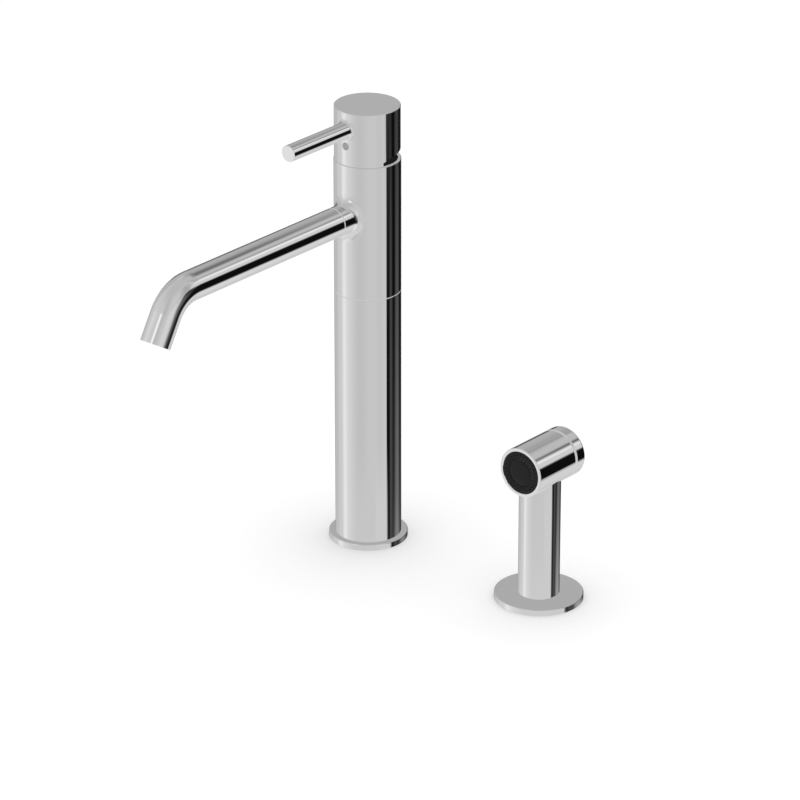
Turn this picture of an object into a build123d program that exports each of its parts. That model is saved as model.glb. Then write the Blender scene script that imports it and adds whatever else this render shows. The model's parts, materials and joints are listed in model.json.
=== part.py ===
from build123d import *
import os
from math import asin, cos, degrees, radians, sin

# A single-lever kitchen mixer with a separate side spray, in millimetres.
# Origin: the mixer's axis where its foot stands on the deck. +Z is up, the spout and the lever
# point towards -Y, and the side spray stands beside the mixer on the +X side.

os.makedirs("parts", exist_ok=True)

# ------------------------------------------------------------------ fits
run = 0.1            # clearance of running fits, on the radius
seat = 0.05          # clearance of screwed and pressed fits, on the radius
edge_break = 0.3     # small chamfer on turned edges

# ------------------------------------------------------------------ column, from the cartridge outwards
cartridge_d = 35.0   # ceramic cartridge
cup_wall = 1.5       # wall of the core round the cartridge
sleeve_wall = 3.4    # wall of the swivel sleeve
riser_wall = 2.6     # wall of the lower tube
flange_rim = 4.4     # how far the flange stands out round the column
flange_t = 4.1
flange_edge = 0.5    # rounding of the flange's top edge
cap_inset = 0.4      # how far the cap stays inside the column's outline

# ------------------------------------------------------------------ heights of the mixer
riser_h = 179.0      # lower tube
seam_gap = 0.4       # gap between the lower tube and the sleeve
seam_bevel = 0.2     # on the lower tube's top edge
spout_rise = 57.4    # from the sleeve's foot to the spout's axis
cap_gap = 0.4        # gap between the sleeve and the lever cap
cap_h = 37.0

# ------------------------------------------------------------------ spout
spout_d = 20.4
spout_wall = 2.0
spout_run = 176.1    # from the mixer's axis to the start of the bend
bend_r = 26.7
bend_turn = 59.4     # degrees
spout_tail = 20.0    # straight end after the bend
collar_reach = 34.4  # from the mixer's axis to the collar's end
collar_fillet = 7.3
spout_seam = 0.2     # gap at the collar
spout_bevel = 0.35   # on both edges of that gap
spigot_l = 10.0
spigot_wall = 1.4
swivel_limit = 70.0  # degrees each way

# ------------------------------------------------------------------ lever
lever_d = 11.3
lever_rise = 25.0    # from the cap's foot to the lever's axis
lever_reach = 79.3   # from the mixer's axis to the lever's end
lever_boss = 3.4     # how far the boss stands out of the cap
lever_fillet = 3.0
lever_stud_r = 3.0
lever_stud_l = 10.0
lift_limit = 18.0    # degrees
tilt_play = 0.7      # between the cap's rear edge and the sleeve's rim at that limit
relief_start = 7.9   # relief under the cap starts this far in front of the axis
relief_step = 2.5    # its height there
relief_knee_y = -1.4  # from there it rises more gently
relief_knee_h = 5.0
relief_bend_y = 14.0  # and from there steeply again, as the tilted cap needs it
relief_bend_h = 6.6
plug_r = 2.7
plug_rise = 13.5     # from the cap's foot to the index plug
plug_t = 3.0
grub_r = 2.45
grub_l = 8.0
grub_key = 2.5       # across the flats of its hexagon
cap_wall = 2.55
cap_top_t = 3.5
post_r = 9.5
rib_w = 13.0
turret_room = 6.0    # from the turret's top to the cap's ceiling

# ------------------------------------------------------------------ foot
stud_bore_r = 3.4    # M8 tapping hole for the fixing stud
stud_depth = 13.0
bush_h = 16.0
hose_bore_r = 4.5    # M10x1 tapping hole for each hose
hose_depth = 9.0
tube_r = 5.0
tube_wall = 1.0
tube_socket = 5.5
seal_w = 2.5         # deck seals
seal_t = 1.9
seal_play = 0.1
deck_seal_inset = 2.0     # from the flange's edge to its seal groove

# ------------------------------------------------------------------ core and its seals
core_spigot_l = 18.0
chamber_half = 8.4   # half the height of the water chamber behind the spout
chamber_depth = 2.2
o_ring_r = 0.75      # half the cord of the core's seals
o_ring_gap = 4.0     # from the chamber to the lower seal's middle
o_ring_gap_top = 2.5
cup_rise = 14.1      # from the spout's axis to the cup's floor
cup_depth = 17.0
thread_depth = 5.5   # nut's thread in the cup
nut_thread_wall = 1.05
stop_rise = 6.5      # stop screw, above the sleeve's foot
stop_r = 2.0
stop_out = 1.6
stop_in = 6.0
stop_slot_depth = 1.8
slide_ring_inset = 0.1    # lower slide ring inside the column's outline, where it shows as a light line
land_relief = 1.2    # depth of the relief between the core's bearing lands
land_l = 12.0        # lower bearing land
land_gap = 4.0       # from the relief to the lower seal's groove

# ------------------------------------------------------------------ diverter
diverter_r = 6.2     # its bore in the core
diverter_wall = 1.5
window_r = 2.2
window_drop = 4.9    # window below the spout's axis
window_lift = 0.8    # the resting piston's foot above the window
piston_l = 7.0
piston_bore_r = 2.6
diverter_floor = 1.5
diverter_room = 2.8  # from the diverter's top to the chamber's top
diverter_spring_l = 13.0
spring_wire = 0.8
feed_plug_r = 7.2
feed_plug_h = 10.0

# ------------------------------------------------------------------ cartridge
plate_t = 3.0        # each of foot plate, fixed disc and moving disc
carrier_t = 2.0
web_t = 1.2
housing_top_t = 1.2
cartridge_wall = 1.6
neck_r = 13.8
neck_top = 22.4      # housing neck above the cup's floor
turret_r = 11.5
turret_over = 4.5    # turret above the pivot
turret_cavity_r = 8.2
turret_cavity_play = 1.2
cavity_play = 0.6    # turret's foot and discs inside the housing
ball_rise = 2.0      # spindle ball above the carrier's plate
ball_r = 2.8
boss_r = 5.2
spindle_arm = 8.5    # from the ball to the pivot
spindle_w = 8.0
spindle_up = 20.5    # from the pivot to the spindle's end
spindle_swing = 2.0  # room for the spindle's tilt, on each side
spindle_neck_r = 1.7
spindle_drop = 3.9   # its square part reaches this far below the pivot
pin_r = 1.5
pin_inset = 0.5
disc_room = 3.2      # round the moving disc, for its stroke
disc_offset = 1.3    # moving disc's centre behind the spindle at rest
port_wall = 1.3      # from a port to the fixed disc's edge
disc_step = 0.8      # carrier's edge inside the moving disc's
disc_port_step = 0.6  # disc's ports are this much smaller than the water ways
pocket_w = 14.0      # pocket under the moving disc
pocket_l = 12.5
pocket_front = 1.0   # its front edge ahead of the axis
pocket_corner = 3.0
port_seal_r = 5.6
port_seal_t = 1.2
water_way_r = 4.0
nut_flange_t = 2.4
trim_t = 3.4
trim_edge = 0.4
ledge_depth = 6.8    # ledge inside the sleeve's rim
rim_w = 2.1          # width of the sleeve's rim
ring_t = 0.9         # upper slide ring

# ------------------------------------------------------------------ aerator
aerator_r = 8.6
aerator_depth = 13.3
aerator_recess = 1.2
aerator_wall = 1.3
aerator_seal_t = 1.2
insert_t = 6.0
insert_inset = 1.5
insert_hole_r = 0.6
insert_pitch = 1.05
insert_rows = 5
spout_seal_r = 0.38  # half its cord
spout_groove_w = 1.0

# ------------------------------------------------------------------ side spray
spray_x = 150.0      # from the mixer's axis
spray_flange_d = 60.0
stem_d = 28.0
stem_wall = 2.0
head_d = 34.3
head_z = 98.4
head_front = 21.0    # from the stem's axis to the head's front
head_rear = 16.15    # from the stem's axis to the head's rear edge
rim_r = 16.6         # mouth of the head's rear rim, which the button's cone enters
rim_edge = 0.15
button_travel = 1.4
button_stop = 0.1    # gap that is left when the button is pressed home
button_rear = 26.7   # from the stem's axis to the button's rear face
head_edge = 0.6      # rounding of the head's edges
button_edge = 1.6
front_ring_w = 2.15
face_recess = 0.05
face_t = 3.55
nub_h = 0.5
nub_r = 0.45
nub_rings = ((12.4, 28), (9.6, 22))   # radius and number of nubs
plate_t_spray = 2.0  # spray plate behind the nozzle face
plate_hole_r = 1.2
plate_ring_r = 11.0
plate_holes = 10
front_depth = 12.0   # of the head's front chamber
seat_r = 9.5
seat_l = 6.8
seat_bore_r = 4.0
inner_chamber_r = 8.0
inner_chamber_l = 7.5
gland_wall = 3.0
gland_cord_r = 0.75
rod_r = 2.4
poppet_r = 6.5
poppet_t = 2.2
poppet_seal_t = 1.4
button_wall = 2.5
skirt_r = 14.5
skirt_l = 6.0
button_boss_r = 5.0
skirt_wall = 2.0
rod_end_play = 0.5
button_spring_r = 7.8
spray_groove_inset = 3.0
hub_r = 11.8
hub_top = 20.0
shank_bore_r = 9.25  # M20x1.5 tapping hole for the shank
shank_depth = 11.0
lip_pocket_h = 1.5   # pocket above the shank's thread, for the guide's lip
lip_pocket_wall = 2.2
guide_neck_r = 8.75
guide_head_h = 6.0
guide_lip = 0.4
guide_lip_h = 1.0
guide_chamfer = 1.0
guide_bore_r = 7.6
hose_socket_z = 40.0
hose_thread_r = 6.95  # M15x1 tapping hole for the spray hose
hose_thread_l = 12.0
socket_shoulder_z = 58.0
socket_neck_r = 8.95
socket_neck_l = 10.0
socket_seal_t = 1.0
socket_play = 0.7    # round the socket, inside the stem
socket_top_play = 1.0
stem_way_r = 3.4
stem_way_y = 1.5

# ------------------------------------------------------------------ worked out: radii
cartridge_r = cartridge_d / 2 - run
cup_r = cartridge_d / 2 + run
core_r = cup_r + cup_wall
sleeve_bore_r = core_r + run
column_r = sleeve_bore_r + sleeve_wall
riser_bore_r = column_r - riser_wall
bush_r = riser_bore_r - seat
flange_r = column_r + flange_rim
cap_r = column_r - cap_inset
rim_bore_r = column_r - rim_w
spout_r = spout_d / 2
spout_bore_r = spout_r - spout_wall
lever_r = lever_d / 2
cap_bore_r = cap_r - cap_wall
cavity_r = cartridge_r - cartridge_wall
nut_bore_r = core_r - nut_thread_wall
fixed_disc_r = cavity_r - cavity_play
disc_r = cavity_r - disc_room
disc_port_r = water_way_r - disc_port_step
port_pitch_r = fixed_disc_r - port_wall - disc_port_r   # of the ports and of all water ways
port_angles = (90, 210, 330)          # mixed water, hot, cold

# ------------------------------------------------------------------ worked out: heights
riser_top_z = flange_t + riser_h
sleeve_foot_z = riser_top_z + seam_gap
spout_z = sleeve_foot_z + spout_rise
chamber_low_z = spout_z - chamber_half
chamber_top_z = spout_z + chamber_half
cup_floor_z = spout_z + cup_rise
core_top_z = cup_floor_z + cup_depth
core_foot_z = riser_top_z - core_spigot_l
ledge_z = core_top_z - ring_t - run
sleeve_top_z = ledge_z + ledge_depth
cap_foot_z = sleeve_top_z + cap_gap
cap_top_z = cap_foot_z + cap_h
disc_foot_z = cup_floor_z + plate_t
carrier_z = disc_foot_z + 2 * plate_t
carrier_top_z = carrier_z + carrier_t
web_z = carrier_top_z + run
cavity_top_z = web_z + web_t + run
shoulder_z = cavity_top_z + housing_top_t
ball_z = carrier_top_z + ball_rise
boss_top_z = ball_z + ball_r
pivot_z = ball_z + spindle_arm
turret_top_z = pivot_z + turret_over
cap_ceiling_z = turret_top_z + turret_room
lever_z = cap_foot_z + lever_rise
plug_z = cap_foot_z + plug_rise
window_z = spout_z - window_drop
stop_z = sleeve_foot_z + stop_rise
hub_ledge_z = shank_depth + lip_pocket_h


def across(y):
    """The plane at y that faces -Y: its own x is X and its own y is Z."""
    return Plane.XZ.offset(-y)


def head_plane(y):
    """The plane across the spray head's axis at y, facing -Y."""
    return Plane(origin=(spray_x, y, head_z), x_dir=(1, 0, 0), z_dir=(0, -1, 0))


def spray_level(z):
    """The level plane at z, centred on the side spray's stem."""
    return Plane(origin=(spray_x, 0, z))


def turned_ring(plane, outer_r, inner_r, thickness):
    """A ring of square section that grows from the plane along its normal."""
    with BuildPart() as ring:
        with BuildSketch(plane):
            Circle(outer_r)
            Circle(inner_r, mode=Mode.SUBTRACT)
        extrude(amount=thickness)
    return ring


def o_ring(plane, middle_r, cord_r):
    """A round-section seal that lies in the plane."""
    with BuildPart(plane) as ring:
        Torus(middle_r, cord_r)
    return ring


def deck_flange(plane, outer_r, bore_r, groove_outer_r):
    """A round deck flange with a seal groove in its underside."""
    with BuildPart() as flange:
        with BuildSketch(plane):
            Circle(outer_r)
            Circle(bore_r, mode=Mode.SUBTRACT)
        extrude(amount=flange_t)
        fillet(flange.edges().group_by(Axis.Z)[-1].sort_by(SortBy.RADIUS)[-1], flange_edge)
        with BuildSketch(plane):
            Circle(groove_outer_r)
            Circle(groove_outer_r - seal_w - 2 * seal_play, mode=Mode.SUBTRACT)
        extrude(amount=seal_t + seal_play, mode=Mode.SUBTRACT)
    return flange


def feed_tube(angle, top_z):
    """A straight copper tube from the foot's bush up to the core."""
    with BuildPart() as tube:
        with BuildSketch(Plane.XY.offset(bush_h - tube_socket + seat)):
            with PolarLocations(port_pitch_r, 1, start_angle=angle):
                Circle(tube_r)
                Circle(tube_r - tube_wall, mode=Mode.SUBTRACT)
        extrude(amount=top_z - (bush_h - tube_socket + seat))
    return tube


pieces = {}

# ================================================================== mixer: foot and column
pieces["base_flange"] = deck_flange(
    Plane.XY, flange_r, riser_bore_r, flange_r - deck_seal_inset
)
pieces["base_seal"] = turned_ring(
    Plane.XY,
    flange_r - deck_seal_inset - seal_play,
    flange_r - deck_seal_inset - seal_play - seal_w,
    seal_t,
)

with BuildPart() as base_bush:
    with BuildSketch(Plane.XY):
        Circle(bush_r)
    extrude(amount=bush_h)
    with BuildSketch(Plane.XY):
        Circle(stud_bore_r)
    extrude(amount=stud_depth, mode=Mode.SUBTRACT)
    with BuildSketch(Plane.XY):
        with PolarLocations(port_pitch_r, 3, start_angle=port_angles[0]):
            Circle(hose_bore_r)
    extrude(amount=hose_depth, mode=Mode.SUBTRACT)
    with BuildSketch(Plane.XY):
        with PolarLocations(port_pitch_r, 3, start_angle=port_angles[0]):
            Circle(water_way_r)
    extrude(amount=bush_h, mode=Mode.SUBTRACT)
    with BuildSketch(Plane.XY.offset(bush_h)):
        with PolarLocations(port_pitch_r, 3, start_angle=port_angles[0]):
            Circle(tube_r + seat)
    extrude(amount=-tube_socket, mode=Mode.SUBTRACT)
pieces["base_bush"] = base_bush

with BuildPart() as riser_column:
    with BuildSketch(Plane.XY.offset(flange_t)):
        Circle(column_r)
    extrude(amount=riser_h)
    chamfer(riser_column.edges().group_by(Axis.Z)[-1], seam_bevel)
    with BuildSketch(Plane.XY.offset(flange_t)):
        Circle(riser_bore_r)
    extrude(amount=riser_h, mode=Mode.SUBTRACT)
pieces["riser_column"] = riser_column

core_socket_z = core_foot_z + tube_socket - seat
pieces["spray_feed_tube"] = feed_tube(port_angles[0], core_socket_z)
pieces["hot_feed_tube"] = feed_tube(port_angles[1], core_socket_z)
pieces["cold_feed_tube"] = feed_tube(port_angles[2], core_socket_z)

with BuildPart() as feed_plug:
    with BuildSketch(Plane.XY.offset(core_foot_z)):
        with PolarLocations(port_pitch_r, 1, start_angle=port_angles[0]):
            Circle(feed_plug_r - seat)
            Circle(water_way_r, mode=Mode.SUBTRACT)
    extrude(amount=feed_plug_h - seat)
    with BuildSketch(Plane.XY.offset(core_foot_z)):
        with PolarLocations(port_pitch_r, 1, start_angle=port_angles[0]):
            Circle(tube_r + seat)
    extrude(amount=tube_socket, mode=Mode.SUBTRACT)
pieces["feed_plug"] = feed_plug

# ================================================================== mixer: fixed core
diverter_top_z = chamber_top_z - diverter_room
groove_floor_r = core_r - 2 * o_ring_r + seat - run
seal_low_z = chamber_low_z - o_ring_gap
seal_top_z = chamber_top_z + o_ring_gap_top
relief_low_z = sleeve_foot_z + land_l
relief_top_z = seal_low_z - land_gap

with BuildPart() as valve_core:
    with BuildSketch(Plane.XY.offset(core_foot_z)):
        Circle(bush_r)
    extrude(amount=core_spigot_l)
    with BuildSketch(Plane.XY.offset(riser_top_z)):
        Circle(core_r)
    extrude(amount=core_top_z - riser_top_z)
    # cup for the cartridge, with the nut's wider thread at its mouth
    with BuildSketch(Plane.XY.offset(core_top_z)):
        Circle(cup_r)
    extrude(amount=-cup_depth, mode=Mode.SUBTRACT)
    with BuildSketch(Plane.XY.offset(core_top_z)):
        Circle(nut_bore_r)
    extrude(amount=-thread_depth, mode=Mode.SUBTRACT)
    # water chamber behind the spout
    with BuildSketch(Plane.XY.offset(chamber_low_z)):
        Circle(core_r + run)
        Circle(core_r - chamber_depth, mode=Mode.SUBTRACT)
    extrude(amount=2 * chamber_half, mode=Mode.SUBTRACT)
    # relief between the bearing lands
    with BuildSketch(Plane.XY.offset(relief_low_z)):
        Circle(core_r + run)
        Circle(core_r - land_relief, mode=Mode.SUBTRACT)
    extrude(amount=relief_top_z - relief_low_z, mode=Mode.SUBTRACT)
    # grooves of the two seals
    for seal_z in (seal_low_z, seal_top_z):
        with BuildSketch(Plane.XY.offset(seal_z - o_ring_r - seal_play)):
            Circle(core_r + run)
            Circle(groove_floor_r, mode=Mode.SUBTRACT)
        extrude(amount=2 * (o_ring_r + seal_play), mode=Mode.SUBTRACT)
    # hot and cold ways, with sockets for their tubes
    with BuildSketch(Plane.XY.offset(core_foot_z)):
        with PolarLocations(port_pitch_r, 2, start_angle=port_angles[1], angular_range=240):
            Circle(water_way_r)
    extrude(amount=cup_floor_z - core_foot_z, mode=Mode.SUBTRACT)
    with BuildSketch(Plane.XY.offset(core_foot_z)):
        with PolarLocations(port_pitch_r, 2, start_angle=port_angles[1], angular_range=240):
            Circle(tube_r + seat)
    extrude(amount=tube_socket, mode=Mode.SUBTRACT)
    # mixed water way: diverter bore, its plug's thread below and the narrower way above
    with BuildSketch(Plane.XY.offset(core_foot_z)):
        with PolarLocations(port_pitch_r, 1, start_angle=port_angles[0]):
            Circle(feed_plug_r)
    extrude(amount=feed_plug_h, mode=Mode.SUBTRACT)
    with BuildSketch(Plane.XY.offset(core_foot_z)):
        with PolarLocations(port_pitch_r, 1, start_angle=port_angles[0]):
            Circle(diverter_r)
    extrude(amount=diverter_top_z - core_foot_z, mode=Mode.SUBTRACT)
    with BuildSketch(Plane.XY.offset(diverter_top_z)):
        with PolarLocations(port_pitch_r, 1, start_angle=port_angles[0]):
            Circle(water_way_r)
    extrude(amount=cup_floor_z - diverter_top_z, mode=Mode.SUBTRACT)
    # window from the diverter to the chamber, on the +Y side
    with BuildSketch(across(core_r)):
        with Locations((0, window_z)):
            Circle(window_r)
    extrude(amount=core_r - port_pitch_r, mode=Mode.SUBTRACT)
    # stop screw's hole, on the -Y side
    with BuildSketch(across(-core_r)):
        with Locations((0, stop_z)):
            Circle(stop_r + seat)
    extrude(amount=-stop_in - seat, mode=Mode.SUBTRACT)
pieces["valve_core"] = valve_core

with BuildPart() as core_seals:
    for seal_z in (seal_low_z, seal_top_z):
        with Locations((0, 0, seal_z)):
            Torus(core_r - o_ring_r + seat, o_ring_r)
pieces["core_seals"] = core_seals

with BuildPart() as swivel_stop_screw:
    with BuildSketch(across(-core_r + stop_in)):
        with Locations((0, stop_z)):
            Circle(stop_r)
    extrude(amount=stop_in + stop_out)
pieces["swivel_stop_screw"] = swivel_stop_screw

pieces["lower_slide_ring"] = turned_ring(
    Plane.XY.offset(riser_top_z), column_r - slide_ring_inset, sleeve_bore_r + run, seam_gap
)

# ================================================================== mixer: diverter
piston_z = window_z + window_r + window_lift
spring_z = piston_z - diverter_spring_l
diverter_foot_z = spring_z - diverter_floor

with BuildPart() as diverter_seat:
    with BuildSketch(Plane.XY.offset(diverter_foot_z)):
        with PolarLocations(port_pitch_r, 1, start_angle=port_angles[0]):
            Circle(diverter_r - seat)
            Circle(piston_bore_r, mode=Mode.SUBTRACT)
    extrude(amount=diverter_top_z - diverter_foot_z - seat)
    with BuildSketch(Plane.XY.offset(spring_z)):
        with PolarLocations(port_pitch_r, 1, start_angle=port_angles[0]):
            Circle(diverter_r - diverter_wall)
    extrude(amount=diverter_top_z - spring_z, mode=Mode.SUBTRACT)
    with BuildSketch(across(port_pitch_r + diverter_r)):
        with Locations((0, window_z)):
            Circle(window_r)
    extrude(amount=diverter_r, mode=Mode.SUBTRACT)
pieces["diverter_seat"] = diverter_seat

piston_r = diverter_r - diverter_wall - run
with BuildPart() as diverter_piston:
    with BuildSketch(Plane.XY.offset(piston_z)):
        with PolarLocations(port_pitch_r, 1, start_angle=port_angles[0]):
            Circle(piston_r)
            Circle(piston_bore_r, mode=Mode.SUBTRACT)
    extrude(amount=piston_l)
pieces["diverter_piston"] = diverter_piston

with BuildPart() as diverter_spring:
    with BuildSketch(Plane.XY.offset(spring_z)):
        with PolarLocations(port_pitch_r, 1, start_angle=port_angles[0]):
            Circle(piston_r - run)
            Circle(piston_r - run - spring_wire, mode=Mode.SUBTRACT)
    extrude(amount=piston_z - spring_z)
pieces["diverter_spring"] = diverter_spring

# ================================================================== mixer: cartridge
with BuildPart() as cartridge_foot:
    with BuildSketch(Plane.XY.offset(cup_floor_z)):
        Circle(cartridge_r)
        with PolarLocations(port_pitch_r, 3, start_angle=port_angles[0]):
            Circle(water_way_r, mode=Mode.SUBTRACT)
    extrude(amount=plate_t)
    with BuildSketch(Plane.XY.offset(cup_floor_z)):
        with PolarLocations(port_pitch_r, 3, start_angle=port_angles[0]):
            Circle(port_seal_r + seat)
    extrude(amount=port_seal_t + seat, mode=Mode.SUBTRACT)
pieces["cartridge_foot"] = cartridge_foot

with BuildPart() as cartridge_port_seals:
    with BuildSketch(Plane.XY.offset(cup_floor_z)):
        with PolarLocations(port_pitch_r, 3, start_angle=port_angles[0]):
            Circle(port_seal_r)
            Circle(water_way_r, mode=Mode.SUBTRACT)
    extrude(amount=port_seal_t)
pieces["cartridge_port_seals"] = cartridge_port_seals

with BuildPart() as fixed_disc:
    with BuildSketch(Plane.XY.offset(disc_foot_z)):
        Circle(fixed_disc_r)
        with PolarLocations(port_pitch_r, 3, start_angle=port_angles[0]):
            Circle(disc_port_r, mode=Mode.SUBTRACT)
    extrude(amount=plate_t)
pieces["fixed_disc"] = fixed_disc

with BuildPart() as moving_disc:
    with BuildSketch(Plane.XY.offset(disc_foot_z + plate_t)):
        with Locations((0, disc_offset)):
            Circle(disc_r)
    extrude(amount=plate_t)
    # pocket in the underside that joins the inlets to the mixed way when the disc is ahead
    with BuildSketch(Plane.XY.offset(disc_foot_z + plate_t)):
        with Locations((0, pocket_l / 2 - pocket_front)):
            RectangleRounded(pocket_w, pocket_l, pocket_corner)
    extrude(amount=plate_t / 2, mode=Mode.SUBTRACT)
pieces["moving_disc"] = moving_disc

with BuildPart() as disc_carrier:
    with BuildSketch(Plane.XY.offset(carrier_z)):
        with Locations((0, disc_offset)):
            Circle(disc_r - disc_step)
    extrude(amount=carrier_t)
    with BuildSketch(Plane.XY.offset(carrier_top_z)):
        Circle(boss_r)
    extrude(amount=boss_top_z - carrier_top_z)
    with BuildSketch(Plane.XY.offset(boss_top_z)):
        Circle(ball_r + run)
    extrude(amount=-2 * (ball_r + run), mode=Mode.SUBTRACT)
pieces["disc_carrier"] = disc_carrier

with BuildPart() as cartridge_housing:
    with BuildSketch(Plane.XY.offset(disc_foot_z)):
        Circle(cartridge_r)
    extrude(amount=shoulder_z - disc_foot_z)
    with BuildSketch(Plane.XY.offset(shoulder_z)):
        Circle(neck_r)
    extrude(amount=cup_floor_z + neck_top - shoulder_z)
    with BuildSketch(Plane.XY.offset(disc_foot_z)):
        Circle(cavity_r)
    extrude(amount=cavity_top_z - disc_foot_z, mode=Mode.SUBTRACT)
    with BuildSketch(Plane.XY.offset(cavity_top_z)):
        Circle(turret_r + run)
    extrude(amount=cup_floor_z + neck_top - cavity_top_z, mode=Mode.SUBTRACT)
pieces["cartridge_housing"] = cartridge_housing

with BuildPart() as cartridge_nut:
    with BuildSketch(Plane.XY.offset(shoulder_z)):
        Circle(nut_bore_r - seat)
    extrude(amount=core_top_z - shoulder_z)
    with BuildSketch(Plane.XY.offset(core_top_z)):
        Circle(rim_bore_r - run)
    extrude(amount=nut_flange_t)
    with BuildSketch(Plane.XY.offset(shoulder_z)):
        Circle(neck_r + run)
    extrude(amount=core_top_z + nut_flange_t - shoulder_z, mode=Mode.SUBTRACT)
pieces["cartridge_nut"] = cartridge_nut

with BuildPart() as trim_ring:
    with BuildSketch(Plane.XY.offset(core_top_z + nut_flange_t)):
        Circle(rim_bore_r - run)
        Circle(neck_r + run, mode=Mode.SUBTRACT)
    extrude(amount=trim_t)
    chamfer(trim_ring.edges().group_by(Axis.Z)[-1].sort_by(SortBy.RADIUS)[-1], trim_edge)
pieces["trim_ring"] = trim_ring

pieces["upper_slide_ring"] = turned_ring(
    Plane.XY.offset(ledge_z), rim_bore_r - run, sleeve_bore_r + run, ring_t
)

turret_cavity_top_z = boss_top_z + turret_cavity_play
slot_w = spindle_w + 4 * run
slot_l = spindle_w + 2 * spindle_swing
with BuildPart() as lever_turret:
    with BuildSketch(Plane.XY.offset(web_z)):
        Circle(cavity_r - cavity_play)
    extrude(amount=web_t)
    with BuildSketch(Plane.XY.offset(web_z + web_t)):
        Circle(turret_r)
    extrude(amount=turret_top_z - web_z - web_t)
    with BuildSketch(Plane.XY.offset(web_z)):
        Circle(turret_cavity_r)
    extrude(amount=turret_cavity_top_z - web_z, mode=Mode.SUBTRACT)
    with BuildSketch(Plane.XY.offset(turret_cavity_top_z)):
        Rectangle(slot_w, slot_l)
    extrude(amount=turret_top_z - turret_cavity_top_z, mode=Mode.SUBTRACT)
    with BuildSketch(Plane.YZ):
        with Locations((0, pivot_z)):
            Circle(pin_r + seat)
    extrude(amount=turret_r, both=True, mode=Mode.SUBTRACT)
pieces["lever_turret"] = lever_turret

with BuildPart() as pivot_pin:
    with BuildSketch(Plane.YZ):
        with Locations((0, pivot_z)):
            Circle(pin_r)
    extrude(amount=turret_r - pin_inset, both=True)
pieces["pivot_pin"] = pivot_pin

# ================================================================== mixer: lever
spindle_foot_z = pivot_z - spindle_drop
with BuildPart() as spindle:
    with Locations((0, 0, ball_z)):
        Sphere(ball_r)
    with BuildSketch(Plane.XY.offset(ball_z)):
        Circle(spindle_neck_r)
    extrude(amount=spindle_foot_z - ball_z)
    with BuildSketch(Plane.XY.offset(spindle_foot_z)):
        Rectangle(spindle_w, spindle_w)
    extrude(amount=pivot_z + spindle_up - spindle_foot_z)
    with BuildSketch(Plane.YZ):
        with Locations((0, pivot_z)):
            Circle(pin_r + run)
    extrude(amount=spindle_w, both=True, mode=Mode.SUBTRACT)
pieces["spindle"] = spindle

# at the lift limit the cap's rear edge has come down to tilt_play above the sleeve's rim
tilt = radians(lift_limit)
rim_over_pivot = sleeve_top_z + tilt_play - pivot_z
relief_end_z = pivot_z + (cap_r * sin(tilt) + rim_over_pivot) / cos(tilt)
boss_end = cap_r + lever_boss
with BuildPart() as lever_cap:
    with BuildSketch(Plane.XY.offset(cap_foot_z)):
        Circle(cap_r)
    extrude(amount=cap_h)
    with BuildSketch(across(-cap_r / 2)):
        with Locations((0, lever_z)):
            Circle(lever_r)
    extrude(amount=boss_end - cap_r / 2)
    boss_root = lever_cap.edges().filter_by(
        lambda e: -cap_r <= e.center().Y < -cap_r / 2 and abs(e.center().Z - lever_z) < lever_r
    )
    fillet(boss_root, lever_fillet)
    # wide bore below, over the turret
    with BuildSketch(Plane.XY.offset(cap_foot_z)):
        Circle(cap_bore_r)
    extrude(amount=cap_ceiling_z - cap_foot_z, mode=Mode.SUBTRACT)
    # hollow above, round the spindle's post and the rib behind the lever
    with BuildSketch(Plane.XY.offset(cap_ceiling_z)):
        Circle(cap_bore_r)
        Circle(post_r, mode=Mode.SUBTRACT)
        with Locations((0, -cap_bore_r / 2)):
            Rectangle(rib_w, cap_bore_r, mode=Mode.SUBTRACT)
    extrude(amount=cap_top_z - cap_top_t - cap_ceiling_z, mode=Mode.SUBTRACT)
    # square socket of the spindle
    with BuildSketch(Plane.XY.offset(cap_ceiling_z)):
        Rectangle(spindle_w + 2 * seat, spindle_w + 2 * seat)
    extrude(amount=pivot_z + spindle_up + run - cap_ceiling_z, mode=Mode.SUBTRACT)
    # holes of the lever's stud, the grub screw and the index plug
    with BuildSketch(across(-boss_end)):
        with Locations((0, lever_z)):
            Circle(lever_stud_r + seat)
    extrude(amount=-lever_stud_l - seat, mode=Mode.SUBTRACT)
    with BuildSketch(across(-cap_r)):
        with Locations((0, plug_z)):
            Circle(grub_r + seat)
    extrude(amount=-cap_r + spindle_w / 2, mode=Mode.SUBTRACT)
    with BuildSketch(across(-cap_r)):
        with Locations((0, plug_z)):
            Circle(plug_r + seat)
    extrude(amount=-plug_t - edge_break, mode=Mode.SUBTRACT)
    # relief under the rear edge, so that the cap can tilt back
    with BuildSketch(Plane.YZ):
        with BuildLine():
            Polyline(
                (-relief_start, cap_foot_z - relief_knee_h),
                (-relief_start, cap_foot_z + relief_step),
                (relief_knee_y, cap_foot_z + relief_knee_h),
                (relief_bend_y, cap_foot_z + relief_bend_h),
                (cap_r, relief_end_z),
                (cap_r + 1.0, relief_end_z),
                (cap_r + 1.0, cap_foot_z - relief_knee_h),
                close=True,
            )
        make_face()
    extrude(amount=cap_r + 1.0, both=True, mode=Mode.SUBTRACT)
    chamfer(lever_cap.edges().group_by(Axis.Z)[-1], edge_break)
pieces["lever_cap"] = lever_cap

with BuildPart() as lever_rod:
    with BuildSketch(across(-boss_end)):
        with Locations((0, lever_z)):
            Circle(lever_r)
    extrude(amount=lever_reach - boss_end)
    chamfer(lever_rod.edges().group_by(Axis.Y)[0], edge_break)
    with BuildSketch(across(-boss_end)):
        with Locations((0, lever_z)):
            Circle(lever_stud_r)
    extrude(amount=-lever_stud_l)
pieces["lever_rod"] = lever_rod

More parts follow.
